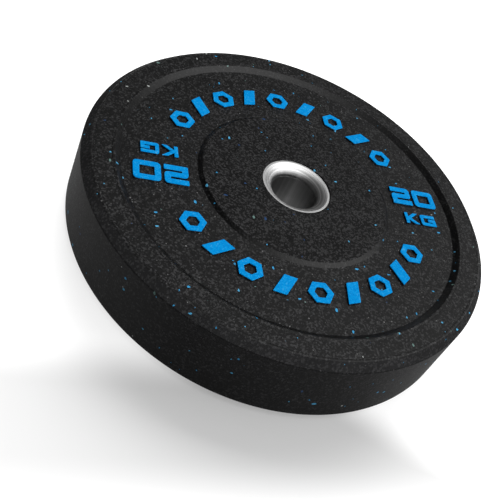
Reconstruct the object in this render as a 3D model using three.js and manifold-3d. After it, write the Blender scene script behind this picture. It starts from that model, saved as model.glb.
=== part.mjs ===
// A 20 kg bumper plate: a crumb rubber disc moulded round a steel hub, with raised
// markings whose tops are blue rubber. Millimetres, +Z up. The plate lies on its rear
// face, with the origin on the axis of the bore at the height of that face.

import * as THREE from 'three';
import { mergeVertices } from 'three/addons/utils/BufferGeometryUtils.js';
import Module from 'manifold-3d';

const wasm = await Module();
wasm.setup();

// Overall plate
const outerRadius = 225;
const thickness = 88;
const edgeChamfer = 8;

// Raised rim and recessed web of each face, with clear web on both sides of the
// weight marking
const rimFlatWidth = 23.3;
const rimStepRun = 6.5;
const webDepth = 4.9;
const webMargin = 11.35;

// Raised hub disc of each face
const hubStepRun = 4.5;
const hubDrop = 1.7;

// Steel hub
const boreDiameter = 50.6;
const sleeveWall = 3.7;
const collarWall = 9.2;
const collarDrop = 1.3;
const collarLand = 1.8;
const collarLandChamfer = 0.6;
const funnelDepth = 7.5;
const funnelRound = 2.5;
const throatLength = 1;
const seatDepth = 4.5;

// Perforated anchor plate moulded into the rubber at half thickness
const anchorWidth = 31;
const anchorThickness = 4;
const anchorHoleRadius = 5.5;
const anchorHoleCount = 10;

// Clearance between steel and rubber, and between steel parts
const bondGap = 0.3;
const weldGap = 0.3;

// Raised markings: a rubber pad with a blue cap
const padHeight = 1.5;
const capThickness = 0.8;
const padRoot = 1;

// Weight marking: a line of digits over a line with the unit
const digitHeight = 25.5;
const digitSlot = 3;
const twoWidth = 24.8;
const zeroWidth = 28;
const digitGap = 3.2;
const digitCorner = 5;
const unitHeight = 15.5;
const unitSlot = 1.5;
const kWidth = 17.2;
const gWidth = 19;
const unitGap = 2.6;
const unitCorner = 3;
const lineGap = 12.8;

// Band of hexagons and slanted bars on each side of the weight marking, an odd number
// of marks
const bandMargin = 20;
const bandHeight = 24;
const hexStroke = 6;
const slashWidth = 14;
const slashLean = 9;
const bandMarkCount = 9;

// Facets of round shapes
const plateFacets = 72;
const steelFacets = 48;
const holeFacets = 12;
const roundSteps = 3;
const cornerFacets = 3;

// Sizes that follow from those above
const boreRadius = boreDiameter / 2;
const sleeveRadius = boreRadius + sleeveWall;
const collarRadius = sleeveRadius + collarWall;
const digitLineWidth = twoWidth + digitGap + zeroWidth;
const unitLineWidth = kWidth + unitGap + gWidth;
const weightWidth = Math.max(digitLineWidth, unitLineWidth);
const weightHeight = digitHeight + lineGap + unitHeight;
const rimInnerRadius = outerRadius - edgeChamfer - rimFlatWidth;
const webOuterRadius = rimInnerRadius - rimStepRun;
const webInnerRadius = webOuterRadius - weightWidth - 2 * webMargin;
const hubFaceRadius = webInnerRadius - hubStepRun;
const webMiddleRadius = (webInnerRadius + webOuterRadius) / 2;
const halfThickness = thickness / 2;
const webLevel = halfThickness - webDepth;
const hubLevel = halfThickness - hubDrop;
const collarLevel = hubLevel - collarDrop;
const throatLevel = collarLevel - funnelDepth - funnelRound;
const seatLevel = throatLevel - throatLength;
const collarFloor = seatLevel - seatDepth;
const padTop = webLevel + padHeight;
const digitStroke = (digitHeight - 2 * digitSlot) / 3;
const unitStroke = (unitHeight - 2 * unitSlot) / 3;
const hexagonWidth = bandHeight / Math.cos(Math.PI / 6);
const bandRadius = webInnerRadius + bandMargin + bandHeight / 2;
// Half a turn holds one weight marking and one band, with a free pitch at each end of it
const allPitches = Math.PI * bandRadius - weightHeight - hexagonWidth;
const bandPitchAngle = allPitches / (bandMarkCount + 1) / bandRadius;

// Materials

function rubber() {
  return new THREE.MeshStandardMaterial({
    color: 0x1b1b1c, roughness: 0.85, metalness: 0, flatShading: true,
  });
}

function blueRubber() {
  return new THREE.MeshStandardMaterial({
    color: 0x1a93dc, roughness: 0.6, metalness: 0, flatShading: true,
  });
}

function turnedSteel() {
  return new THREE.MeshStandardMaterial({ color: 0xc9cbcd, roughness: 0.28, metalness: 1 });
}

function plainSteel() {
  return new THREE.MeshStandardMaterial({ color: 0x8d9093, roughness: 0.5, metalness: 1 });
}

// Geometry helpers

function positionsOnly(geometry) {
  const bare = geometry.clone();
  for (const name of Object.keys(bare.attributes)) {
    if (name !== 'position') {
      bare.deleteAttribute(name);
    }
  }
  return mergeVertices(bare);
}

function solidOf(geometry) {
  const bare = positionsOnly(geometry);
  const mesh = new wasm.Mesh({
    numProp: 3,
    vertProperties: new Float32Array(bare.attributes.position.array),
    triVerts: new Uint32Array(bare.index.array),
  });
  return new wasm.Manifold(mesh);
}

function geometryOf(solid) {
  const mesh = solid.getMesh();
  const geometry = new THREE.BufferGeometry();
  geometry.setAttribute('position', new THREE.BufferAttribute(mesh.vertProperties, 3));
  geometry.setIndex(new THREE.BufferAttribute(mesh.triVerts, 1));
  return geometry;
}

// A closed section of [radius, height] pairs, turned round the Z axis.
// Seen with the axis on the left, the section runs anticlockwise.
function turned(section, facets) {
  const points = section.map(([radius, height]) => new THREE.Vector2(radius, height));
  points.push(points[0].clone());
  const geometry = new THREE.LatheGeometry(points, facets);
  geometry.rotateX(Math.PI / 2);
  return geometry;
}

function extruded(shape, bottom, top) {
  const geometry = new THREE.ExtrudeGeometry(shape, {
    depth: top - bottom, bevelEnabled: false, curveSegments: cornerFacets,
  });
  geometry.translate(0, 0, bottom);
  return geometry;
}

// An outline through [x, y, corner radius] points. A corner of radius 0 stays sharp.
function outline(corners, Outline = THREE.Shape) {
  const path = new Outline();
  corners.forEach(([x, y, radius], index) => {
    const corner = new THREE.Vector2(x, y);
    const [beforeX, beforeY] = corners.at(index - 1);
    const [afterX, afterY] = corners[(index + 1) % corners.length];
    const before = new THREE.Vector2(beforeX, beforeY).sub(corner).setLength(radius).add(corner);
    const after = new THREE.Vector2(afterX, afterY).sub(corner).setLength(radius).add(corner);
    if (index === 0) {
      path.moveTo(before.x, before.y);
    } else {
      path.lineTo(before.x, before.y);
    }
    if (radius > 0) {
      path.quadraticCurveTo(x, y, after.x, after.y);
    }
  });
  path.closePath();
  return path;
}

// Outlines of the markings, each centred on its own middle

function twoOutline() {
  const x = twoWidth / 2;
  const y = digitHeight / 2;
  const lower = y - digitStroke;
  const middle = digitStroke / 2;
  return outline([
    [-x, y, 0],
    [x, y, digitCorner],
    [x, -middle, digitCorner],
    [digitStroke - x, -middle, 0],
    [digitStroke - x, -lower, 0],
    [x, -lower, 0],
    [x, -y, 0],
    [-x, -y, 0],
    [-x, middle, digitCorner],
    [x - digitStroke, middle, 0],
    [x - digitStroke, lower, 0],
    [-x, lower, 0],
  ].reverse());
}

function zeroOutline() {
  const x = zeroWidth / 2;
  const y = digitHeight / 2;
  const innerX = x - digitStroke;
  const innerY = y - digitStroke;
  const shape = outline([
    [-x, -y, digitCorner],
    [x, -y, digitCorner],
    [x, y, digitCorner],
    [-x, y, digitCorner],
  ]);
  shape.holes.push(outline([
    [-innerX, -innerY, 0],
    [-innerX, innerY, 0],
    [innerX, innerY, 0],
    [innerX, -innerY, 0],
  ], THREE.Path));
  return shape;
}

function kOutline() {
  const x = kWidth / 2;
  const y = unitHeight / 2;
  const stemX = unitStroke - x;
  const armRun = unitStroke * Math.SQRT2;
  const crotch = unitStroke / 2;
  const armSlope = (x - armRun - stemX) / (y - crotch);
  return outline([
    [-x, -y, 0],
    [stemX, -y, 0],
    [stemX, -crotch, 0],
    [x - armRun, -y, 0],
    [x, -y, 0],
    [stemX + armRun - armSlope * crotch, 0, 0],
    [x, y, 0],
    [x - armRun, y, 0],
    [stemX, crotch, 0],
    [stemX, y, 0],
    [-x, y, 0],
  ]);
}

function gOutline() {
  const x = gWidth / 2;
  const y = unitHeight / 2;
  const lower = y - unitStroke;
  const middle = unitStroke / 2;
  return outline([
    [-x, -y, unitCorner],
    [x, -y, 0],
    [x, middle, 0],
    [0, middle, 0],
    [0, -middle, 0],
    [x - unitStroke, -middle, 0],
    [x - unitStroke, -lower, 0],
    [unitStroke - x, -lower, 0],
    [unitStroke - x, lower, 0],
    [x, lower, 0],
    [x, y, 0],
    [-x, y, unitCorner],
  ]);
}

function hexagonPoints(inset) {
  const radius = (bandHeight / 2 - inset) / Math.cos(Math.PI / 6);
  return Array.from({ length: 6 }, (_, side) => {
    const angle = (side * Math.PI) / 3;
    return [radius * Math.cos(angle), radius * Math.sin(angle), 0];
  });
}

function hexagonOutline() {
  const shape = outline(hexagonPoints(0));
  shape.holes.push(outline(hexagonPoints(hexStroke).reverse(), THREE.Path));
  return shape;
}

function slashOutline() {
  const x = slashWidth / 2;
  const y = bandHeight / 2;
  const lean = slashLean / 2;
  return outline([
    [-x - lean, -y, 0],
    [x - lean, -y, 0],
    [x + lean, y, 0],
    [lean - x, y, 0],
  ]);
}

// Where each marking of one face goes: its outline, its name, and a transform on the
// plane of the face, with X towards the first weight marking

function weightMarks(side, turn) {
  const digitsY = (unitHeight + lineGap) / 2;
  const unitY = -(digitHeight + lineGap) / 2;
  const toPlace = (x, y) => new THREE.Matrix4()
    .makeRotationZ(turn)
    .multiply(new THREE.Matrix4().makeTranslation(webMiddleRadius + x, y, 0));
  const twoX = -(zeroWidth + digitGap) / 2;
  const zeroX = (twoWidth + digitGap) / 2;
  const kX = -(gWidth + unitGap) / 2;
  const gX = (kWidth + unitGap) / 2;
  return [
    { name: `digit_2_${side}`, shape: twoOutline(), place: toPlace(twoX, digitsY) },
    { name: `digit_0_${side}`, shape: zeroOutline(), place: toPlace(zeroX, digitsY) },
    { name: `letter_k_${side}`, shape: kOutline(), place: toPlace(kX, unitY) },
    { name: `letter_g_${side}`, shape: gOutline(), place: toPlace(gX, unitY) },
  ];
}

function bandMarks(side, turn) {
  return Array.from({ length: bandMarkCount }, (_, index) => {
    const angle = turn + (index - (bandMarkCount - 1) / 2) * bandPitchAngle;
    const place = new THREE.Matrix4()
      .makeRotationZ(angle - Math.PI / 2)
      .multiply(new THREE.Matrix4().makeTranslation(0, bandRadius, 0));
    const isHexagon = index % 2 === 0;
    return {
      name: `${isHexagon ? 'hexagon' : 'slash'}_${index + 1}_${side}`,
      shape: isHexagon ? hexagonOutline() : slashOutline(),
      place,
    };
  });
}

function faceMarks() {
  return [
    ...weightMarks('right', 0),
    ...weightMarks('left', Math.PI),
    ...bandMarks('top', Math.PI / 2),
    ...bandMarks('bottom', -Math.PI / 2),
  ];
}

// Sub-parts, each round the middle of the plate

// The plate's section from the half thickness up, mirrored for the lower half
function plateSection() {
  const sleeveHole = sleeveRadius + bondGap;
  const collarPocket = collarRadius + bondGap;
  const upper = [
    [outerRadius, halfThickness - edgeChamfer],
    [outerRadius - edgeChamfer, halfThickness],
    [rimInnerRadius, halfThickness],
    [webOuterRadius, webLevel],
    [webInnerRadius, webLevel],
    [hubFaceRadius, hubLevel],
    [collarPocket, hubLevel],
    [collarPocket, collarFloor - bondGap],
    [sleeveHole, collarFloor - bondGap],
  ];
  const lower = upper.map(([radius, height]) => [radius, -height]).reverse();
  return [...lower, ...upper];
}

function anchorDisc(grow) {
  const disc = new THREE.Shape();
  disc.absarc(0, 0, sleeveRadius + weldGap + anchorWidth + grow, 0, 2 * Math.PI);
  const inner = new THREE.Path();
  inner.absarc(0, 0, sleeveRadius + weldGap - grow, 0, 2 * Math.PI, true);
  disc.holes.push(inner);
  const holeCircle = sleeveRadius + weldGap + anchorWidth / 2;
  for (let index = 0; index < anchorHoleCount; index += 1) {
    const angle = (index * 2 * Math.PI) / anchorHoleCount;
    const hole = new THREE.Path();
    hole.absarc(
      holeCircle * Math.cos(angle),
      holeCircle * Math.sin(angle),
      anchorHoleRadius - grow,
      0,
      2 * Math.PI,
      true,
    );
    disc.holes.push(hole);
  }
  const geometry = new THREE.ExtrudeGeometry(disc, {
    depth: anchorThickness + 2 * grow, bevelEnabled: false, curveSegments: holeFacets,
  });
  geometry.translate(0, 0, -anchorThickness / 2 - grow);
  return geometry;
}

// Marks on the front stay as they are; marks on the rear are turned over about X
const faceTurns = {
  front: new THREE.Matrix4(),
  rear: new THREE.Matrix4().makeRotationX(Math.PI),
};

function rubberBody() {
  let body = solidOf(turned(plateSection(), plateFacets));
  body = body.subtract(solidOf(anchorDisc(bondGap)));
  for (const turn of Object.values(faceTurns)) {
    for (const mark of faceMarks()) {
      const pad = extruded(mark.shape, webLevel - padRoot, padTop);
      pad.applyMatrix4(mark.place).applyMatrix4(turn);
      body = body.add(solidOf(pad));
    }
  }
  return new THREE.Mesh(geometryOf(body), rubber());
}

function hubSleeve() {
  const end = seatLevel - weldGap;
  return new THREE.Mesh(turned([
    [boreRadius, -end],
    [sleeveRadius, -end],
    [sleeveRadius, end],
    [boreRadius, end],
  ], steelFacets), turnedSteel());
}

// A ring on the end of the sleeve, whose conical mouth rounds over into the bore
function hubCollar() {
  const mouth = collarRadius - collarLand;
  const seatRadius = sleeveRadius + weldGap;
  const land = new THREE.Vector2(mouth, collarLevel);
  const coneFoot = new THREE.Vector2(boreRadius, collarLevel - funnelDepth);
  const roundStart = land.clone().sub(coneFoot).setLength(funnelRound).add(coneFoot);
  const roundEnd = new THREE.Vector2(boreRadius, throatLevel);
  const round = new THREE.QuadraticBezierCurve(roundStart, coneFoot, roundEnd);
  return new THREE.Mesh(turned([
    [boreRadius, seatLevel],
    [seatRadius, seatLevel],
    [seatRadius, collarFloor],
    [collarRadius, collarFloor],
    [collarRadius, collarLevel - collarLandChamfer],
    [collarRadius - collarLandChamfer, collarLevel],
    land.toArray(),
    ...round.getPoints(roundSteps).map((point) => point.toArray()),
  ], steelFacets), turnedSteel());
}

function capOf(mark) {
  const cap = new THREE.Mesh(extruded(mark.shape, padTop, padTop + capThickness), blueRubber());
  cap.applyMatrix4(mark.place);
  return cap;
}

// Assembly

function named(mesh, name) {
  mesh.name = name;
  return mesh;
}

function faceGroup(face, turn) {
  const group = new THREE.Group();
  group.add(named(hubCollar(), `${face}_collar`));
  for (const mark of faceMarks()) {
    group.add(named(capOf(mark), `${face}_${mark.name}`));
  }
  group.applyMatrix4(turn);
  return group;
}

const plate = new THREE.Group();
plate.add(named(rubberBody(), 'rubber_body'));
plate.add(named(hubSleeve(), 'hub_sleeve'));
plate.add(named(new THREE.Mesh(anchorDisc(0), plainSteel()), 'anchor_plate'));
for (const [face, turn] of Object.entries(faceTurns)) {
  plate.add(faceGroup(face, turn));
}
plate.position.z = halfThickness;

export default plate;
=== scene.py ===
# Looks of a rubber weight plate with blue markings and a turned steel hub.
import math

import bpy
from mathutils import Matrix, Vector
from mathutils.geometry import tessellate_polygon


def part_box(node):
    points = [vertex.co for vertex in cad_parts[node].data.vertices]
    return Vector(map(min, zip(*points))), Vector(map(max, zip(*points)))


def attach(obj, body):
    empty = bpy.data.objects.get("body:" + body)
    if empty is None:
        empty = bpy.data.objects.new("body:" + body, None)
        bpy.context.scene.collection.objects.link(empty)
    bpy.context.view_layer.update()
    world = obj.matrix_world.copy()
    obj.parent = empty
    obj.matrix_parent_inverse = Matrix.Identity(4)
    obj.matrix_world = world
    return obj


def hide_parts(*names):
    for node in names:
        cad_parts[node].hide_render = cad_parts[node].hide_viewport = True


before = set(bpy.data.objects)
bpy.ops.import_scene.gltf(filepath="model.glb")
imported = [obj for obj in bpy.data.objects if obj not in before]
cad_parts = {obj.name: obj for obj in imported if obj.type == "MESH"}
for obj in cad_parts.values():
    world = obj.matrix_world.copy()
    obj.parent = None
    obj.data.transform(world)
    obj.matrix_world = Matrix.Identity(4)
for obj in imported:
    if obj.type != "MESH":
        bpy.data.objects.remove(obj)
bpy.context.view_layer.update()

MM = 0.001
PER_METRE = 1000

# Sizes read from the frame

body_low, body_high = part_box("rubber_body")
collar_low, collar_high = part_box("front_collar")
_, sleeve_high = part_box("hub_sleeve")
_, anchor_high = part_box("anchor_plate")
cap_low, cap_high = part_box("front_digit_2_right")

MIDDLE = (body_low.z + body_high.z) / 2
HALF_THICKNESS = body_high.z - MIDDLE
OUTER_RADIUS = body_high.x
COLLAR_RADIUS = collar_high.x
COLLAR_LEVEL = collar_high.z - MIDDLE
COLLAR_FLOOR = collar_low.z - MIDDLE
SLEEVE_RADIUS = sleeve_high.x
SLEEVE_END = sleeve_high.z - MIDDLE
ANCHOR_RADIUS = anchor_high.x
ANCHOR_HALF = anchor_high.z - MIDDLE
PAD_TOP = cap_low.z - MIDDLE
CAP_TOP = cap_high.z - MIDDLE

# Sizes of the moulding that the boxes don't give, with how far up a pad each level of its
# sides is and how much of its flare is left there

EDGE_CHAMFER = 8 * MM
RIM_FLAT_WIDTH = 23.3 * MM
RIM_STEP_RUN = 6.5 * MM
WEB_MARGIN = 11.35 * MM
HUB_STEP_RUN = 4.5 * MM
HUB_DROP = 1.7 * MM
PAD_HEIGHT = 1.5 * MM
PAD_ROOT = 1 * MM
PAD_FLARE = 0.45 * MM
PAD_SIDES = [(0.2, 0.4), (0.5, 0.12)]
CAP_ROUND = 0.3 * MM
BOND_GAP = 0.3 * MM
WELD_GAP = 0.3 * MM

# Steel hub

BORE_RADIUS = 25.3 * MM
COLLAR_LAND = 2.5 * MM
LAND_CHAMFER = 0.15 * MM
FUNNEL_DEPTH = 7.5 * MM
FUNNEL_ROUND = 2.5 * MM
FUNNEL_CROWN = 1.4 * MM
CROWN_RADIUS = 32.4 * MM
CROWN_ROUND = 16 * MM
MOUTH_CURVE = 6.4 * MM
THROAT_LENGTH = 1 * MM
STEEL_EDGE = 0.2 * MM

# Rounding of the moulding's edges

WALL_ROUND = 3 * MM
RIM_ROUND = 2.2 * MM
STEP_ROUND = 1.4 * MM
MOUTH_ROUND = 0.7 * MM
GROOVE_WIDTH = 0.9 * MM
GROOVE_DEPTH = 0.3 * MM
GROOVE_INSET = 2.6 * MM

# Markings

DIGIT_HEIGHT = 25.5 * MM
DIGIT_SLOT = 3 * MM
TWO_WIDTH = 24.8 * MM
ZERO_WIDTH = 28 * MM
DIGIT_GAP = 3.2 * MM
DIGIT_CORNER = 5 * MM
UNIT_HEIGHT = 15.5 * MM
UNIT_SLOT = 1.5 * MM
K_WIDTH = 17.2 * MM
G_WIDTH = 19 * MM
UNIT_GAP = 2.6 * MM
UNIT_CORNER = 3 * MM
LINE_GAP = 12.8 * MM
BAND_MARGIN = 20 * MM
BAND_HEIGHT = 24 * MM
HEX_STROKE = 6 * MM
SLASH_WIDTH = 14 * MM
SLASH_LEAN = 9 * MM
BAND_MARK_COUNT = 9
SMALL_CORNER = 0.8 * MM
LEAST_FACING = 0.5

# Steps of round shapes, and the least angle in degrees of the edges that stay sharp

PLATE_SEGMENTS = 360
STEEL_SEGMENTS = 240
ARC_STEPS = 7
CORNER_STEPS = 5
CAP_STEPS = 3
RUBBER_SHARP = 50
STEEL_SHARP = 40

# Sizes that follow from those above

DIGIT_STROKE = (DIGIT_HEIGHT - 2 * DIGIT_SLOT) / 3
UNIT_STROKE = (UNIT_HEIGHT - 2 * UNIT_SLOT) / 3
WEIGHT_WIDTH = TWO_WIDTH + DIGIT_GAP + ZERO_WIDTH
WEIGHT_HEIGHT = DIGIT_HEIGHT + LINE_GAP + UNIT_HEIGHT
RIM_INNER_RADIUS = OUTER_RADIUS - EDGE_CHAMFER - RIM_FLAT_WIDTH
WEB_OUTER_RADIUS = RIM_INNER_RADIUS - RIM_STEP_RUN
WEB_INNER_RADIUS = WEB_OUTER_RADIUS - WEIGHT_WIDTH - 2 * WEB_MARGIN
HUB_FACE_RADIUS = WEB_INNER_RADIUS - HUB_STEP_RUN
WEB_MIDDLE_RADIUS = (WEB_INNER_RADIUS + WEB_OUTER_RADIUS) / 2
WEB_LEVEL = PAD_TOP - PAD_HEIGHT
HUB_LEVEL = HALF_THICKNESS - HUB_DROP
THROAT_LEVEL = COLLAR_LEVEL - FUNNEL_DEPTH - FUNNEL_ROUND
SEAT_LEVEL = THROAT_LEVEL - THROAT_LENGTH
HEXAGON_WIDTH = BAND_HEIGHT / math.cos(math.pi / 6)
BAND_RADIUS = WEB_INNER_RADIUS + BAND_MARGIN + BAND_HEIGHT / 2
ALL_PITCHES = math.pi * BAND_RADIUS - WEIGHT_HEIGHT - HEXAGON_WIDTH
BAND_PITCH_ANGLE = ALL_PITCHES / (BAND_MARK_COUNT + 1) / BAND_RADIUS


# Node trees

def new_material(name):
    material = bpy.data.materials.new(name)
    material.use_nodes = True
    material.node_tree.nodes.clear()
    return material


def add_node(tree, kind, inputs=None, **settings):
    """A node with its settings, whose inputs are values or the sockets that feed them."""
    node = tree.nodes.new(kind)
    for key, value in settings.items():
        setattr(node, key, value)
    for key, value in (inputs or {}).items():
        if isinstance(value, bpy.types.NodeSocket):
            tree.links.new(value, node.inputs[key])
        else:
            node.inputs[key].default_value = value
    return node


def finish_material(tree, shader):
    add_node(tree, "ShaderNodeOutputMaterial", {"Surface": shader.outputs[0]})


def maths(tree, operation, first, second=0.5):
    return add_node(
        tree, "ShaderNodeMath", {0: first, 1: second}, operation=operation,
    ).outputs[0]


def blended(tree, values, shares):
    """The sum of the values, each times its share."""
    parts = [maths(tree, "MULTIPLY", value, share) for value, share in zip(values, shares)]
    total = parts[0]
    for part in parts[1:]:
        total = maths(tree, "ADD", total, part)
    return total


def map_range(tree, value, from_range=(0, 1), to_range=(0, 1), interpolation="LINEAR"):
    """The value moved from one range to another, and held inside it."""
    return add_node(
        tree, "ShaderNodeMapRange",
        {
            "Value": value,
            "From Min": from_range[0], "From Max": from_range[1],
            "To Min": to_range[0], "To Max": to_range[1],
        },
        interpolation_type=interpolation,
    ).outputs["Result"]


def grey(level):
    return (level, level, level, 1)


def ramp(tree, value, stops, interpolation="LINEAR"):
    """A colour ramp through (position, colour) stops, where a number is a grey level."""
    node = add_node(tree, "ShaderNodeValToRGB", {"Fac": value})
    node.color_ramp.interpolation = interpolation
    elements = node.color_ramp.elements
    while len(elements) < len(stops):
        elements.new(1)
    for element, (position, colour) in zip(elements, stops):
        element.position = position
        element.color = (*colour, 1) if isinstance(colour, tuple) else grey(colour)
    return node.outputs["Color"]


def mix_colour(tree, amount, first, second, blend_type="MIX"):
    node = add_node(tree, "ShaderNodeMix", data_type="RGBA", blend_type=blend_type)
    sockets = [socket for socket in node.inputs if socket.enabled]
    for socket, value in zip(sockets, (amount, first, second)):
        if isinstance(value, bpy.types.NodeSocket):
            tree.links.new(value, socket)
        else:
            socket.default_value = value
    return next(socket for socket in node.outputs if socket.enabled)


def millimetres(tree, stretch=(1, 1, 1)):
    """Object coordinates in millimetres, divided by stretch along each axis."""
    coordinates = add_node(tree, "ShaderNodeTexCoord")
    return add_node(
        tree, "ShaderNodeMapping",
        {
            "Vector": coordinates.outputs["Object"],
            "Scale": [PER_METRE / times for times in stretch],
        },
    ).outputs["Vector"]


def noise(tree, vector, size, detail=2.0, roughness=0.5):
    """Noise whose blotches are about size millimetres across."""
    return add_node(
        tree, "ShaderNodeTexNoise",
        {"Vector": vector, "Scale": 1 / size, "Detail": detail, "Roughness": roughness},
    ).outputs["Fac"]


def cells(tree, vector, size):
    """Random cells about size millimetres across: their distance and random colour."""
    node = add_node(tree, "ShaderNodeTexVoronoi", {"Vector": vector, "Scale": 1 / size})
    return node.outputs["Distance"], node.outputs["Color"]


def parts_of(tree, colour):
    return add_node(tree, "ShaderNodeSeparateColor", {"Color": colour}).outputs


def warped(tree, vector, size, amount):
    """The coordinates pushed about by noise, so that shapes in them are ragged."""
    push = add_node(
        tree, "ShaderNodeTexNoise", {"Vector": vector, "Scale": 1 / size, "Detail": 2.0},
    )
    centred = add_node(
        tree, "ShaderNodeVectorMath",
        {0: push.outputs["Color"], 1: (0.5, 0.5, 0.5)}, operation="SUBTRACT",
    )
    scaled = add_node(
        tree, "ShaderNodeVectorMath",
        {0: centred.outputs["Vector"], "Scale": amount}, operation="SCALE",
    )
    return add_node(
        tree, "ShaderNodeVectorMath",
        {0: vector, 1: scaled.outputs["Vector"]}, operation="ADD",
    ).outputs["Vector"]


def radius_of(tree, vector):
    """Distance from the axis of the bore."""
    flat = add_node(
        tree, "ShaderNodeVectorMath", {0: vector, 1: (1, 1, 0)}, operation="MULTIPLY",
    )
    return add_node(
        tree, "ShaderNodeVectorMath", {0: flat.outputs["Vector"]}, operation="LENGTH",
    ).outputs["Value"]


def bump(tree, height, strength, distance, normal=None):
    """The normal of a surface with this height, on top of another normal if there is one."""
    node = add_node(
        tree, "ShaderNodeBump", {"Height": height, "Strength": strength, "Distance": distance},
    )
    if normal is not None:
        tree.links.new(normal, node.inputs["Normal"])
    return node.outputs["Normal"]


# Black rubber: texture sizes in millimetres, stops of lightness, and the strength and
# depth of its bumps

FINE_SIZE = 0.9
BLOTCH_SIZE = 9
CLOUD_SIZE = 45
CRUMB_SIZE = 1.6
FINE_LIGHT = [(0.42, 0.0), (0.72, 1.0)]
BLOTCH_LIGHT = [(0.38, 0.55), (0.62, 1.4)]
CLOUD_LIGHT = [(0.3, 0.85), (0.7, 1.15)]
CRUMB_LIGHT = [(0.0, 0.0), (0.64, 0.02), (0.78, 0.7), (1.0, 1.9)]
CRUMB_AND_FINE_SHARES = (0.8, 0.2)
FINE_SPAN = (0.3, 0.7)
DARK_RUBBER = (0.0010, 0.0010, 0.0011, 1)
PALE_RUBBER = (0.036, 0.036, 0.037, 1)
RUBBER_BUMP = (0.3, 0.3 * MM)

# Size and amount of the noise that makes crumbs and flecks ragged
CRUMB_WARP = (1.8, 0.6)
FLECK_WARP = (2.2, 1.8)

# Crumbs of other rubber lie in cells of the given stretch and spacing. A share of the cells
# hold one, and its size in spacings goes from least up by spread.
GREY_CRUMBS = {"stretch": (1, 1, 1), "spacing": 2.3, "share": 0.4, "least": 0.16, "spread": 0.22}
FLECKS_ALONG_X = {"stretch": (1.5, 0.8, 1), "spacing": 8, "share": 0.1, "least": 0.07, "spread": 0.13}
FLECKS_ALONG_Y = {"stretch": (0.8, 1.4, 1), "spacing": 8, "share": 0.1, "least": 0.07, "spread": 0.13}
SPECKS = {"stretch": (1, 1, 1), "spacing": 6, "share": 0.06, "least": 0.08, "spread": 0.09}
GREY_COLOURS = [
    (0.0, (0.020, 0.020, 0.020)),
    (0.5, (0.045, 0.045, 0.046)),
    (0.85, (0.08, 0.08, 0.08)),
    (0.97, (0.17, 0.17, 0.17)),
]
FLECK_COLOURS = [
    (0.0, (0.04, 0.34, 0.66)),
    (0.45, (0.09, 0.42, 0.70)),
    (0.78, (0.02, 0.06, 0.16)),
    (0.86, (0.14, 0.24, 0.22)),
    (0.94, (0.38, 0.40, 0.39)),
]

# Kinds of surface: specular level, how pale the rubber is without and with grain, how
# strongly grey crumbs and flecks show, and the span of the roughness. On the edge the paleness
# without grain is a painted sheen.
RUBBER_KINDS = {
    "black_hub_rubber": {
        "specular": 0.11, "lift": 0.0, "gain": 2.4,
        "crumb_strength": 1.0, "fleck_strength": 1.0, "roughness_span": (0.38, 0.52),
    },
    "black_step_rubber": {
        "specular": 0.28, "lift": 0.0, "gain": 0.25,
        "crumb_strength": 0.3, "fleck_strength": 0.8, "roughness_span": (0.28, 0.34),
    },
    "black_crumb_rubber": {
        "specular": 0.21, "lift": 0.0, "gain": 1.0,
        "crumb_strength": 1.0, "fleck_strength": 1.0, "roughness_span": (0.38, 0.52),
    },
    # Painted sheen: the edge's specular is almost off, and a paler base stands in for its reflection
    "black_edge_rubber_painted_sheen": {
        "specular": 0.003, "lift": 0.5, "gain": 0.6,
        "crumb_strength": 0.4, "fleck_strength": 0.8, "roughness_span": (0.5, 0.64),
    },
    "black_wall_rubber": {
        "specular": 0.08, "lift": 0.1, "gain": 0.25,
        "crumb_strength": 0.2, "fleck_strength": 0.45, "roughness_span": (0.6, 0.74),
    },
}

# Which kind the faces of the moulding are, out to each radius
FLAT_MARGIN = 0.3 * MM
RIM_MARGIN = 0.5 * MM
WALL_MARGIN = 0.6 * MM
RUBBER_RINGS = [
    (HUB_FACE_RADIUS + FLAT_MARGIN, "black_hub_rubber"),
    (WEB_INNER_RADIUS - FLAT_MARGIN, "black_step_rubber"),
    (WEB_OUTER_RADIUS + FLAT_MARGIN, "black_crumb_rubber"),
    (RIM_INNER_RADIUS - FLAT_MARGIN, "black_step_rubber"),
    (OUTER_RADIUS - EDGE_CHAMFER + RIM_MARGIN, "black_crumb_rubber"),
    (OUTER_RADIUS - WALL_MARGIN, "black_edge_rubber_painted_sheen"),
    (math.inf, "black_wall_rubber"),
]


def scattered(tree, vector, colours, stretch, spacing, share, least, spread):
    """How much of each point crumbs of other rubber cover, and their colour."""
    stretched = add_node(
        tree, "ShaderNodeMapping", {"Vector": vector, "Scale": [1 / times for times in stretch]},
    ).outputs["Vector"]
    distance, random_colour = cells(tree, stretched, spacing)
    random_parts = parts_of(tree, random_colour)
    chosen = maths(tree, "LESS_THAN", random_parts["Red"], share)
    size = maths(
        tree, "ADD", maths(tree, "MULTIPLY", random_parts["Green"], spread), least,
    )
    inside = maths(tree, "LESS_THAN", distance, size)
    colour = ramp(tree, random_parts["Blue"], colours, "CONSTANT")
    return maths(tree, "MULTIPLY", chosen, inside), colour


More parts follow.
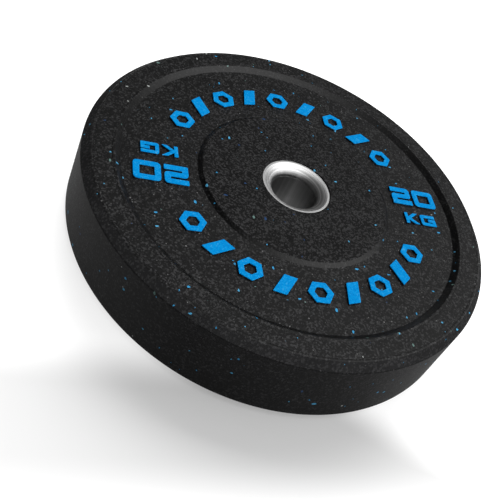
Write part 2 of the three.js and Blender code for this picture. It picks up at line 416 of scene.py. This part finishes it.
def black_rubber(name, specular, lift, gain, crumb_strength, fleck_strength, roughness_span):
    material = new_material(name)
    tree = material.node_tree
    place = millimetres(tree)

    fine = noise(tree, place, FINE_SIZE, detail=3, roughness=0.6)
    blotches = noise(tree, place, BLOTCH_SIZE, detail=3, roughness=0.6)
    clouds = noise(tree, place, CLOUD_SIZE)
    crumb_distance, crumb_colour = cells(tree, warped(tree, place, *CRUMB_WARP), CRUMB_SIZE)
    crumb_light = ramp(tree, parts_of(tree, crumb_colour)["Red"], CRUMB_LIGHT)
    fine_light = ramp(tree, fine, FINE_LIGHT)
    grain = blended(tree, (crumb_light, fine_light), CRUMB_AND_FINE_SHARES)
    grain = maths(tree, "MULTIPLY", grain, ramp(tree, blotches, BLOTCH_LIGHT))
    paleness = maths(tree, "ADD", maths(tree, "MULTIPLY", grain, gain), lift)
    base = mix_colour(tree, paleness, DARK_RUBBER, PALE_RUBBER)
    base = mix_colour(tree, 1.0, base, ramp(tree, clouds, CLOUD_LIGHT), "MULTIPLY")

    ragged = warped(tree, place, *FLECK_WARP)
    for layout, colours, strength in (
        (GREY_CRUMBS, GREY_COLOURS, crumb_strength),
        (FLECKS_ALONG_X, FLECK_COLOURS, fleck_strength),
        (FLECKS_ALONG_Y, FLECK_COLOURS, fleck_strength),
        (SPECKS, FLECK_COLOURS, fleck_strength),
    ):
        cover, colour = scattered(tree, ragged, colours, **layout)
        base = mix_colour(tree, maths(tree, "MULTIPLY", cover, strength), base, colour)

    crumb_normal = bump(tree, crumb_distance, *RUBBER_BUMP)
    shader = add_node(
        tree, "ShaderNodeBsdfPrincipled",
        {
            "Base Color": base,
            "Roughness": map_range(tree, fine, FINE_SPAN, roughness_span),
            "Specular IOR Level": specular,
            "Normal": bump(tree, fine, *RUBBER_BUMP, crumb_normal),
        },
    )
    finish_material(tree, shader)
    return material


# Blue rubber

BLUE_GRAIN_SIZE = 0.8
BLUE_CRUMB_SIZE = 1.4
BLUE_BLOTCH_SIZE = 6
BLUE_SHARES = (0.6, 0.25, 0.25)
BLUE_TONES = [
    (0.30, (0.0, 0.20, 0.59)),
    (0.50, (0.0, 0.28, 0.74)),
    (0.66, (0.0, 0.34, 0.80)),
    (0.84, (0.14, 0.50, 0.86)),
]
BLUE_BUMP = (0.4, 0.3 * MM)
BLUE_ROUGHNESS = 0.62
BLUE_SPECULAR = 0.04


def blue_rubber():
    material = new_material("blue_rubber")
    tree = material.node_tree
    place = millimetres(tree)
    grain = noise(tree, place, BLUE_GRAIN_SIZE, detail=3, roughness=0.65)
    _, crumb_colour = cells(tree, place, BLUE_CRUMB_SIZE)
    crumb_light = parts_of(tree, crumb_colour)["Red"]
    blotches = noise(tree, place, BLUE_BLOTCH_SIZE)
    tone = blended(tree, (grain, crumb_light, blotches), BLUE_SHARES)
    shader = add_node(
        tree, "ShaderNodeBsdfPrincipled",
        {
            "Base Color": ramp(tree, tone, BLUE_TONES),
            "Roughness": BLUE_ROUGHNESS,
            "Specular IOR Level": BLUE_SPECULAR,
            "Normal": bump(tree, grain, *BLUE_BUMP),
        },
    )
    finish_material(tree, shader)
    return material


# Turned steel: the cone and the land are bright, and the bore and the rounded edge above
# it are darker, a painted shade for the deep hole

RING_SIZE = 0.9
BAND_SIZE = 2.6
WEAR_SIZE = 3.5
STREAK_SIZE = 7
STREAK_STRETCH = (1, 1, 60)
RING_TONES = [(0.3, 0.60), (0.5, 0.74), (0.7, 0.88)]
BAND_LIGHT = [(0.38, 0.66), (0.62, 1.12)]
# Painted shade: the bore's dark tones stand in for the shade inside the deep hole
BORE_PAINTED_SHADE_TONES = [(0.3, 0.20), (0.5, 0.25), (0.7, 0.34)]
PAINTED_SHADE_RADIUS = BORE_RADIUS + 1.4 * MM
BRIGHT_RADIUS = BORE_RADIUS + 3.6 * MM
STEEL_ROUGHNESS = (0.42, 0.4)
RING_BUMP = (0.3, 0.08 * MM)
WEAR_BUMP = (0.04, 0.2 * MM)


def turning_marks(tree, vector, size):
    """Fine rings left by the lathe, which run round the axis on faces, cones and bores."""
    height = add_node(tree, "ShaderNodeSeparateXYZ", {"Vector": vector}).outputs["Z"]
    along = maths(tree, "ADD", radius_of(tree, vector), height)
    return add_node(
        tree, "ShaderNodeTexNoise",
        {"W": along, "Scale": 1 / size, "Detail": 4.0, "Roughness": 0.7},
        noise_dimensions="1D",
    ).outputs["Fac"]


def turned_steel():
    material = new_material("turned_steel")
    tree = material.node_tree
    place = millimetres(tree)
    rings = turning_marks(tree, place, RING_SIZE)
    bands = turning_marks(tree, place, BAND_SIZE)
    wear = noise(tree, place, WEAR_SIZE, detail=4, roughness=0.65)
    streaks = noise(tree, millimetres(tree, STREAK_STRETCH), STREAK_SIZE, detail=3)
    bright = mix_colour(
        tree, 1.0, ramp(tree, rings, RING_TONES), ramp(tree, bands, BAND_LIGHT), "MULTIPLY",
    )
    # Below the bright cone the base colour fades to the painted shade of the bore
    on_cone = map_range(
        tree, radius_of(tree, place), (PAINTED_SHADE_RADIUS * PER_METRE, BRIGHT_RADIUS * PER_METRE),
    )
    ring_normal = bump(tree, rings, *RING_BUMP)
    shader = add_node(
        tree, "ShaderNodeBsdfPrincipled",
        {
            "Base Color": mix_colour(tree, on_cone, ramp(tree, streaks, BORE_PAINTED_SHADE_TONES), bright),
            "Metallic": 1.0,
            "Roughness": map_range(tree, on_cone, to_range=STEEL_ROUGHNESS),
            "Normal": bump(tree, wear, *WEAR_BUMP, ring_normal),
        },
    )
    finish_material(tree, shader)
    return material


# Plain steel

MILL_SCALE_SIZE = 7
MILL_STREAK_SIZE = 1
MILL_STREAK_STRETCH = (8, 0.6, 1)
MILL_SHARES = (0.7, 0.3)
MILL_TONES = [(0.3, 0.16), (0.5, 0.28), (0.7, 0.40)]
MILL_ROUGHNESS = (0.35, 0.6)
MILL_BUMP = (0.2, 0.2 * MM)


def plain_steel():
    material = new_material("plain_steel")
    tree = material.node_tree
    scale = noise(tree, millimetres(tree), MILL_SCALE_SIZE, detail=5, roughness=0.65)
    streaks = noise(tree, millimetres(tree, MILL_STREAK_STRETCH), MILL_STREAK_SIZE)
    tone = blended(tree, (scale, streaks), MILL_SHARES)
    shader = add_node(
        tree, "ShaderNodeBsdfPrincipled",
        {
            "Base Color": ramp(tree, tone, MILL_TONES),
            "Metallic": 1.0,
            "Roughness": map_range(tree, tone, to_range=MILL_ROUGHNESS),
            "Normal": bump(tree, tone, *MILL_BUMP),
        },
    )
    finish_material(tree, shader)
    return material


# Shapes

def new_object(name, vertices, faces, material):
    mesh = bpy.data.meshes.new(name)
    mesh.from_pydata(vertices, [], faces)
    mesh.validate()
    mesh.materials.append(material)
    obj = bpy.data.objects.new(name, mesh)
    bpy.context.scene.collection.objects.link(obj)
    return obj


def smooth(obj, sharp_degrees):
    obj.data.shade_smooth()
    obj.data.set_sharp_from_angle(angle=math.radians(sharp_degrees))
    weighted = obj.modifiers.new("weighted_normals", "WEIGHTED_NORMAL")
    weighted.keep_sharp = True


def corner_sides(corners, index):
    """A corner, and the ways from it to the corners before and after it."""
    corner = Vector(corners[index][:2])
    before = Vector(corners[index - 1][:2]) - corner
    after = Vector(corners[(index + 1) % len(corners)][:2]) - corner
    return corner, before, after


def corner_curve(corner, before, after, reach, steps):
    """The points of a curve that cuts a corner at a reach from it on both sides."""
    start = corner + before.normalized() * reach
    end = corner + after.normalized() * reach
    shares = [step / steps for step in range(steps + 1)]
    return [
        start * (1 - share) ** 2 + corner * 2 * share * (1 - share) + end * share ** 2
        for share in shares
    ]


def rounded(corners):
    """The points of a closed section through (radius, height, round) corners."""
    points = []
    for index, (*_, size) in enumerate(corners):
        corner, before, after = corner_sides(corners, index)
        if size == 0:
            points.append(corner)
        else:
            reach = size * math.tan((math.pi - before.angle(after)) / 2)
            points += corner_curve(corner, before, after, reach, ARC_STEPS)
    return points


def lathe(section, segments):
    """Vertices and faces of a closed section turned round the axis of the bore."""
    count = len(section)
    vertices = []
    for segment in range(segments):
        angle = 2 * math.pi * segment / segments
        cosine, sine = math.cos(angle), math.sin(angle)
        vertices += [(p.x * cosine, p.x * sine, p.y + MIDDLE) for p in section]
    faces = []
    for segment in range(segments):
        this_row = segment * count
        next_row = (segment + 1) % segments * count
        for index in range(count):
            following = (index + 1) % count
            faces.append((
                this_row + index, next_row + index, next_row + following, this_row + following,
            ))
    return vertices, faces


def curved_loop(corners):
    """A loop of points through (x, y, corner size) corners, each cut by a curve."""
    points = []
    for index, (*_, size) in enumerate(corners):
        reach = max(size, SMALL_CORNER)
        points += corner_curve(*corner_sides(corners, index), reach, CORNER_STEPS)
    return points


def grown(loop, distance):
    """The loop moved outwards by distance, away from the material on its left."""
    moved = []
    for index, point in enumerate(loop):
        arriving = (point - loop[index - 1]).normalized()
        leaving = (loop[(index + 1) % len(loop)] - point).normalized()
        out = Vector((arriving.y + leaving.y, -arriving.x - leaving.x)).normalized()
        facing = out.dot(Vector((leaving.y, -leaving.x)))
        moved.append(point + out * (distance / max(LEAST_FACING, facing)))
    return moved


def prism(loops, levels):
    """A closed solid of the loops through (height, growth) levels, from the bottom up."""
    vertices = []
    faces = []
    rows = []
    for height, growth in levels:
        row = []
        for loop in loops:
            row.append(len(vertices))
            vertices += [(p.x, p.y, height) for p in grown(loop, growth)]
        rows.append(row)
    for lower, upper in zip(rows, rows[1:]):
        for loop, low, high in zip(loops, lower, upper):
            for index in range(len(loop)):
                following = (index + 1) % len(loop)
                faces.append((low + index, low + following, high + following, high + index))
    for level, is_top in ((0, False), (-1, True)):
        growth = levels[level][1]
        flat = [[Vector((p.x, p.y, 0)) for p in grown(loop, growth)] for loop in loops]
        points = [point for loop in flat for point in loop]
        first = rows[level][0]
        for triangle in tessellate_polygon(flat):
            a, b, c = (points[corner] for corner in triangle)
            turns_left = (b - a).cross(c - a).z > 0
            if turns_left != is_top:
                triangle = triangle[::-1]
            faces.append(tuple(first + corner for corner in triangle))
    return vertices, faces


def placed(solid, matrix):
    vertices, faces = solid
    return [matrix @ Vector(v) for v in vertices], faces


def joined(solids):
    vertices = []
    faces = []
    for more_vertices, more_faces in solids:
        start = len(vertices)
        vertices += more_vertices
        faces += [tuple(start + index for index in face) for face in more_faces]
    return vertices, faces


# Outlines of the markings, each centred on its own middle: the outer loop runs
# anticlockwise and a hole clockwise

def two_loops():
    x = TWO_WIDTH / 2
    y = DIGIT_HEIGHT / 2
    lower = y - DIGIT_STROKE
    middle = DIGIT_STROKE / 2
    corners = [
        (-x, y, 0),
        (x, y, DIGIT_CORNER),
        (x, -middle, DIGIT_CORNER),
        (DIGIT_STROKE - x, -middle, 0),
        (DIGIT_STROKE - x, -lower, 0),
        (x, -lower, 0),
        (x, -y, 0),
        (-x, -y, 0),
        (-x, middle, DIGIT_CORNER),
        (x - DIGIT_STROKE, middle, 0),
        (x - DIGIT_STROKE, lower, 0),
        (-x, lower, 0),
    ]
    return [curved_loop(corners[::-1])]


def zero_loops():
    x = ZERO_WIDTH / 2
    y = DIGIT_HEIGHT / 2
    inner_x = x - DIGIT_STROKE
    inner_y = y - DIGIT_STROKE
    outer = [
        (-x, -y, DIGIT_CORNER),
        (x, -y, DIGIT_CORNER),
        (x, y, DIGIT_CORNER),
        (-x, y, DIGIT_CORNER),
    ]
    inner = [
        (-inner_x, -inner_y, 0),
        (-inner_x, inner_y, 0),
        (inner_x, inner_y, 0),
        (inner_x, -inner_y, 0),
    ]
    return [curved_loop(outer), curved_loop(inner)]


def k_loops():
    x = K_WIDTH / 2
    y = UNIT_HEIGHT / 2
    stem_x = UNIT_STROKE - x
    arm_run = UNIT_STROKE * math.sqrt(2)
    crotch = UNIT_STROKE / 2
    arm_slope = (x - arm_run - stem_x) / (y - crotch)
    return [curved_loop([
        (-x, -y, 0),
        (stem_x, -y, 0),
        (stem_x, -crotch, 0),
        (x - arm_run, -y, 0),
        (x, -y, 0),
        (stem_x + arm_run - arm_slope * crotch, 0, 0),
        (x, y, 0),
        (x - arm_run, y, 0),
        (stem_x, crotch, 0),
        (stem_x, y, 0),
        (-x, y, 0),
    ])]


def g_loops():
    x = G_WIDTH / 2
    y = UNIT_HEIGHT / 2
    lower = y - UNIT_STROKE
    middle = UNIT_STROKE / 2
    return [curved_loop([
        (-x, -y, UNIT_CORNER),
        (x, -y, 0),
        (x, middle, 0),
        (0, middle, 0),
        (0, -middle, 0),
        (x - UNIT_STROKE, -middle, 0),
        (x - UNIT_STROKE, -lower, 0),
        (UNIT_STROKE - x, -lower, 0),
        (UNIT_STROKE - x, lower, 0),
        (x, lower, 0),
        (x, y, 0),
        (-x, y, UNIT_CORNER),
    ])]


def hexagon_corners(inset):
    radius = (BAND_HEIGHT / 2 - inset) / math.cos(math.pi / 6)
    return [
        (radius * math.cos(side * math.pi / 3), radius * math.sin(side * math.pi / 3), 0)
        for side in range(6)
    ]


def hexagon_loops():
    return [curved_loop(hexagon_corners(0)), curved_loop(hexagon_corners(HEX_STROKE)[::-1])]


def slash_loops():
    x = SLASH_WIDTH / 2
    y = BAND_HEIGHT / 2
    lean = SLASH_LEAN / 2
    return [curved_loop([
        (-x - lean, -y, 0),
        (x - lean, -y, 0),
        (x + lean, y, 0),
        (lean - x, y, 0),
    ])]


# Where each marking of one face goes: its name, its loops and its place on the face,
# with X towards the first weight marking

def weight_marks(side, turn):
    digits_y = (UNIT_HEIGHT + LINE_GAP) / 2
    unit_y = -(DIGIT_HEIGHT + LINE_GAP) / 2
    spots = [
        ("digit_2", two_loops(), -(ZERO_WIDTH + DIGIT_GAP) / 2, digits_y),
        ("digit_0", zero_loops(), (TWO_WIDTH + DIGIT_GAP) / 2, digits_y),
        ("letter_k", k_loops(), -(G_WIDTH + UNIT_GAP) / 2, unit_y),
        ("letter_g", g_loops(), (K_WIDTH + UNIT_GAP) / 2, unit_y),
    ]
    spin = Matrix.Rotation(turn, 4, "Z")
    return [
        (f"{name}_{side}", loops, spin @ Matrix.Translation((WEB_MIDDLE_RADIUS + x, y, 0)))
        for name, loops, x, y in spots
    ]


def band_marks(side, turn):
    marks = []
    for index in range(BAND_MARK_COUNT):
        angle = turn + (index - (BAND_MARK_COUNT - 1) / 2) * BAND_PITCH_ANGLE
        spin = Matrix.Rotation(angle - math.pi / 2, 4, "Z")
        kind, loops = ("slash", slash_loops()) if index % 2 else ("hexagon", hexagon_loops())
        place = spin @ Matrix.Translation((0, BAND_RADIUS, 0))
        marks.append((f"{kind}_{index + 1}_{side}", loops, place))
    return marks


def face_marks():
    return (
        weight_marks("right", 0) + weight_marks("left", math.pi)
        + band_marks("top", math.pi / 2) + band_marks("bottom", -math.pi / 2)
    )


to_middle = Matrix.Translation((0, 0, MIDDLE))
FACES = {
    "front": to_middle,
    "rear": to_middle @ Matrix.Rotation(math.pi, 4, "X"),
}


# Sub-parts

def groove(radius, level):
    """A shallow groove in a flat ring, met on the way in from the rim."""
    return [
        (radius + GROOVE_WIDTH / 2, level, 0),
        (radius, level - GROOVE_DEPTH, 0),
        (radius - GROOVE_WIDTH / 2, level, 0),
    ]


def plate_section():
    pocket = COLLAR_RADIUS + BOND_GAP
    hole = SLEEVE_RADIUS + BOND_GAP
    slot = ANCHOR_RADIUS + BOND_GAP
    slot_level = ANCHOR_HALF + BOND_GAP
    pocket_floor = COLLAR_FLOOR - BOND_GAP
    rim_edge = OUTER_RADIUS - EDGE_CHAMFER
    upper = [
        (OUTER_RADIUS, HALF_THICKNESS - EDGE_CHAMFER, WALL_ROUND),
        (rim_edge, HALF_THICKNESS, RIM_ROUND),
        *groove(rim_edge - GROOVE_INSET, HALF_THICKNESS),
        *groove(RIM_INNER_RADIUS + GROOVE_INSET, HALF_THICKNESS),
        (RIM_INNER_RADIUS, HALF_THICKNESS, STEP_ROUND),
        (WEB_OUTER_RADIUS, WEB_LEVEL, STEP_ROUND),
        (WEB_INNER_RADIUS, WEB_LEVEL, STEP_ROUND),
        (HUB_FACE_RADIUS, HUB_LEVEL, STEP_ROUND),
        (pocket, HUB_LEVEL, MOUTH_ROUND),
        (pocket, pocket_floor, 0),
        (hole, pocket_floor, 0),
        (hole, slot_level, 0),
        (slot, slot_level, 0),
    ]
    lower = [(radius, -height, size) for radius, height, size in upper[::-1]]
    return rounded(lower + upper)


def rubber_disc():
    solids = [lathe(plate_section(), PLATE_SEGMENTS)]
    levels = [
        (WEB_LEVEL - PAD_ROOT, PAD_FLARE),
        (WEB_LEVEL, PAD_FLARE),
        *((WEB_LEVEL + PAD_HEIGHT * rise, PAD_FLARE * left) for rise, left in PAD_SIDES),
        (PAD_TOP, 0),
    ]
    for turn in FACES.values():
        for _, loops, place in face_marks():
            solids.append(placed(prism(loops, levels), turn @ place))
    materials = [black_rubber(name, **settings) for name, settings in RUBBER_KINDS.items()]
    piece = new_object("rubber_disc", *joined(solids), materials[0])
    for material in materials[1:]:
        piece.data.materials.append(material)
    names = list(RUBBER_KINDS)
    for face in piece.data.polygons:
        radius = math.hypot(face.center.x, face.center.y)
        kind = next(kind for limit, kind in RUBBER_RINGS if radius < limit)
        face.material_index = names.index(kind)
    smooth(piece, RUBBER_SHARP)
    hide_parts("rubber_body")
    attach(piece, "root")


def blue_caps(material):
    rounding = [
        (CAP_TOP - CAP_ROUND * (1 - math.sin(angle)), -CAP_ROUND * (1 - math.cos(angle)))
        for angle in (step * math.pi / 2 / CAP_STEPS for step in range(CAP_STEPS + 1))
    ]
    for face, turn in FACES.items():
        for name, loops, place in face_marks():
            solid = placed(prism(loops, [(PAD_TOP, 0), *rounding]), turn @ place)
            piece = new_object(f"{face}_{name}_top", *solid, material)
            smooth(piece, RUBBER_SHARP)
            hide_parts(f"{face}_{name}")
            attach(piece, "root")


def hub_sleeve(material):
    section = rounded([
        (BORE_RADIUS, -SLEEVE_END, STEEL_EDGE),
        (SLEEVE_RADIUS, -SLEEVE_END, STEEL_EDGE),
        (SLEEVE_RADIUS, SLEEVE_END, STEEL_EDGE),
        (BORE_RADIUS, SLEEVE_END, STEEL_EDGE),
    ])
    piece = new_object("bore_tube", *lathe(section, STEEL_SEGMENTS), material)
    smooth(piece, STEEL_SHARP)
    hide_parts("hub_sleeve")
    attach(piece, "root")


def hub_collars(material):
    seat = SLEEVE_RADIUS + WELD_GAP
    mouth = COLLAR_RADIUS - COLLAR_LAND
    crown_share = (mouth - CROWN_RADIUS) / (mouth - BORE_RADIUS)
    crown_level = COLLAR_LEVEL - FUNNEL_DEPTH * crown_share + FUNNEL_CROWN
    upper = [
        (BORE_RADIUS, SEAT_LEVEL, STEEL_EDGE),
        (seat, SEAT_LEVEL, 0),
        (seat, COLLAR_FLOOR, STEEL_EDGE),
        (COLLAR_RADIUS, COLLAR_FLOOR, STEEL_EDGE),
        (COLLAR_RADIUS, COLLAR_LEVEL - LAND_CHAMFER, STEEL_EDGE),
        (COLLAR_RADIUS - LAND_CHAMFER, COLLAR_LEVEL, STEEL_EDGE),
        (mouth, COLLAR_LEVEL, STEEL_EDGE),
        (CROWN_RADIUS, crown_level, CROWN_ROUND),
        (BORE_RADIUS, COLLAR_LEVEL - FUNNEL_DEPTH, MOUTH_CURVE),
    ]
    for face, side in (("front", 1), ("rear", -1)):
        corners = [(radius, side * height, size) for radius, height, size in upper]
        section = rounded(corners[::side])
        piece = new_object(f"{face}_ring", *lathe(section, STEEL_SEGMENTS), material)
        smooth(piece, STEEL_SHARP)
        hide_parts(f"{face}_collar")
        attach(piece, "root")


def anchor_plate(material):
    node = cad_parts["anchor_plate"]
    node.data.materials.clear()
    node.data.materials.append(material)


rubber_disc()
blue_caps(blue_rubber())
steel = turned_steel()
hub_sleeve(steel)
hub_collars(steel)
anchor_plate(plain_steel())


# Floor, with lengths in metres. Near the plate and far away it glows more, but not in its bore
# or in a painted shadow in front of the plate, whose edges are set along given directions.

FLOOR_RADIUS = 8
FLOOR_SEGMENTS = 96
FLOOR_PAINT = 0.3
FLOOR_GLOW = 0.3
FLOOR_BRIGHT = 0.45
NEAR_FADE = (0.3, 0.7)
FAR_FADE = (0.9, 2.2)

# Along each direction, where the painted shadow starts to end and where the floor is clear of it
PAINTED_SHADOW_ENDS = [
    ((0, 1, 0), (-0.205, -0.15)),
    ((1, 1.5, 0), (-0.305, -0.215)),
    ((0, -1, 0), (0.265, 0.345)),
]


def seen_through(tree):
    """1 for rays from the camera, straight or through glass."""
    path = add_node(tree, "ShaderNodeLightPath").outputs
    return maths(tree, "MAXIMUM", path["Is Camera Ray"], path["Is Transmission Ray"])


def seen_as_background(tree):
    """1 for rays from the camera, and for what glossy surfaces and glass show."""
    glossy = add_node(tree, "ShaderNodeLightPath").outputs["Is Glossy Ray"]
    return maths(tree, "MAXIMUM", seen_through(tree), glossy)


def along(tree, vector, direction):
    return add_node(
        tree, "ShaderNodeVectorMath", {0: vector, 1: direction}, operation="DOT_PRODUCT",
    ).outputs["Value"]


def clear_of_painted_shadow(tree, place):
    """1 where the floor is clear of the painted shadow, and 0 in it."""
    clear = 0.0
    for direction, fade in PAINTED_SHADOW_ENDS:
        past_end = map_range(
            tree, along(tree, place, direction), fade, interpolation="SMOOTHSTEP",
        )
        clear = maths(tree, "MAXIMUM", clear, past_end)
    return clear


def floor_paint():
    material = new_material("pale_floor")
    tree = material.node_tree
    place = add_node(tree, "ShaderNodeTexCoord").outputs["Object"]
    radius = radius_of(tree, place)
    near = map_range(tree, radius, NEAR_FADE, (FLOOR_BRIGHT, 0), "SMOOTHSTEP")
    far = map_range(tree, radius, FAR_FADE, (0, FLOOR_BRIGHT), "SMOOTHSTEP")
    outside_bore = maths(tree, "GREATER_THAN", radius, COLLAR_RADIUS)
    # Painted shadow: the extra glow near the plate stops at edges set by the mask, not by the lamps
    near = maths(tree, "MULTIPLY", clear_of_painted_shadow(tree, place), near)
    near = maths(tree, "MULTIPLY", near, outside_bore)
    bright = maths(tree, "ADD", maths(tree, "ADD", near, far), FLOOR_GLOW)
    strength = maths(tree, "MULTIPLY", seen_as_background(tree), bright)
    paint = add_node(tree, "ShaderNodeBsdfDiffuse", {"Color": grey(FLOOR_PAINT)})
    glow = add_node(tree, "ShaderNodeEmission", {"Color": grey(1), "Strength": strength})
    both = add_node(tree, "ShaderNodeAddShader", {0: paint.outputs[0], 1: glow.outputs[0]})
    finish_material(tree, both)
    return material


def floor_disc():
    angles = [2 * math.pi * index / FLOOR_SEGMENTS for index in range(FLOOR_SEGMENTS)]
    vertices = [
        (FLOOR_RADIUS * math.cos(angle), FLOOR_RADIUS * math.sin(angle), 0) for angle in angles
    ]
    floor = new_object("floor", vertices, [tuple(range(FLOOR_SEGMENTS))], floor_paint())
    return floor


# Lights: azimuths from +X, elevations and fades in degrees, distances and sizes in metres

FLOOR_LIGHT_AZIMUTH = 71
FLOOR_LIGHT_ELEVATION = 42
FLOOR_LIGHT_DISTANCE = 3.0
FLOOR_LIGHT_SIZE = 2.8
FLOOR_LIGHT_LEVEL = 2.25

# Azimuth, elevation and strength of each soft glow of the sky, and the angles from its
# middle where it starts to fade and ends
SKY_GLOWS = [
    (-49, 30, 1.3, (24, 76)),
    (8, 65, 1.45, (16, 56)),
]
SKY_LEVEL = 0.05
BACKGROUND_LEVEL = 1.0

# Sines of the elevations between which the white background fades: as the plate reflects
# it, and as the camera sees it
REFLECTED_FADE = (0.03, 0.09)
BACKDROP_FADE = (0.25, 0.3)


def towards(azimuth, elevation):
    """The direction at an azimuth from +X and an elevation, in degrees."""
    turn = math.radians(azimuth)
    rise = math.radians(elevation)
    return Vector((
        math.cos(turn) * math.cos(rise), math.sin(turn) * math.cos(rise), math.sin(rise),
    ))


def floor_light(floor):
    """A square soft light on the floor alone, so that the shadow falls in front of the plate.

    At level 1 a flat surface in its middle would render in the colour of its paint.
    """
    light = bpy.data.lights.new("floor_light", "AREA")
    light.shape = "SQUARE"
    light.size = FLOOR_LIGHT_SIZE
    rise = math.sin(math.radians(FLOOR_LIGHT_ELEVATION))
    light.energy = FLOOR_LIGHT_LEVEL * (math.pi * FLOOR_LIGHT_DISTANCE) ** 2 / rise
    obj = bpy.data.objects.new("floor_light", light)
    bpy.context.scene.collection.objects.link(obj)
    away = towards(FLOOR_LIGHT_AZIMUTH, FLOOR_LIGHT_ELEVATION)
    obj.location = Vector((0, 0, MIDDLE)) + away * FLOOR_LIGHT_DISTANCE
    obj.rotation_euler = away.to_track_quat("Z", "Y").to_euler()
    lit = bpy.data.collections.new("lit_by_floor_light")
    lit.objects.link(floor)
    obj.light_linking.receiver_collection = lit


def surroundings():
    """A dim studio with large soft glows and a white background."""
    world = bpy.data.worlds.new("studio")
    bpy.context.scene.world = world
    world.use_nodes = True
    tree = world.node_tree
    tree.nodes.clear()
    direction = add_node(tree, "ShaderNodeTexCoord").outputs["Generated"]
    sky = SKY_LEVEL
    for azimuth, elevation, level, fade in SKY_GLOWS:
        cosine = along(tree, direction, towards(azimuth, elevation))
        glow = map_range(
            tree, maths(tree, "ARCCOSINE", cosine), [math.radians(angle) for angle in fade],
            (level, 0), "SMOOTHSTEP",
        )
        sky = maths(tree, "ADD", glow, sky)
    height = add_node(tree, "ShaderNodeSeparateXYZ", {"Vector": direction}).outputs["Z"]
    reflected = map_range(tree, height, REFLECTED_FADE, (BACKGROUND_LEVEL, sky))
    backdrop = map_range(tree, height, BACKDROP_FADE, (BACKGROUND_LEVEL, reflected))
    strength = map_range(tree, seen_through(tree), to_range=(reflected, backdrop))
    background = add_node(
        tree, "ShaderNodeBackground", {"Color": grey(1), "Strength": strength},
    )
    add_node(tree, "ShaderNodeOutputWorld", {"Surface": background.outputs[0]})


# Camera: angles in degrees, places and distances in metres, lens and sensor in millimetres

CAMERA_AZIMUTH = -29.65
CAMERA_ELEVATION = 39.6
CAMERA_ROLL = 29.38
CAMERA_PLACE = (-0.32287, -0.57606, 0.60790)
CAMERA_LENS = 57.34
CAMERA_SENSOR = 36
CLIP_START = 0.01
CLIP_END = 100
FRAME_PIXELS = 500
VIEW_CENTRE_PIXELS = (291.9, 203.0)


def photo_camera():
    data = bpy.data.cameras.new("camera")
    data.lens = CAMERA_LENS
    data.sensor_width = CAMERA_SENSOR
    data.shift_x = 0.5 - VIEW_CENTRE_PIXELS[0] / FRAME_PIXELS
    data.shift_y = VIEW_CENTRE_PIXELS[1] / FRAME_PIXELS - 0.5
    data.clip_start = CLIP_START
    data.clip_end = CLIP_END
    obj = bpy.data.objects.new("camera", data)
    bpy.context.scene.collection.objects.link(obj)
    obj.matrix_world = (
        Matrix.Translation(CAMERA_PLACE)
        @ Matrix.Rotation(math.radians(CAMERA_AZIMUTH), 4, "Z")
        @ Matrix.Rotation(math.radians(90 - CAMERA_ELEVATION), 4, "X")
        @ Matrix.Rotation(math.radians(CAMERA_ROLL), 4, "Z")
    )
    bpy.context.scene.camera = obj


floor_light(floor_disc())
surroundings()
photo_camera()
bpy.context.scene.view_settings.view_transform = "Standard"
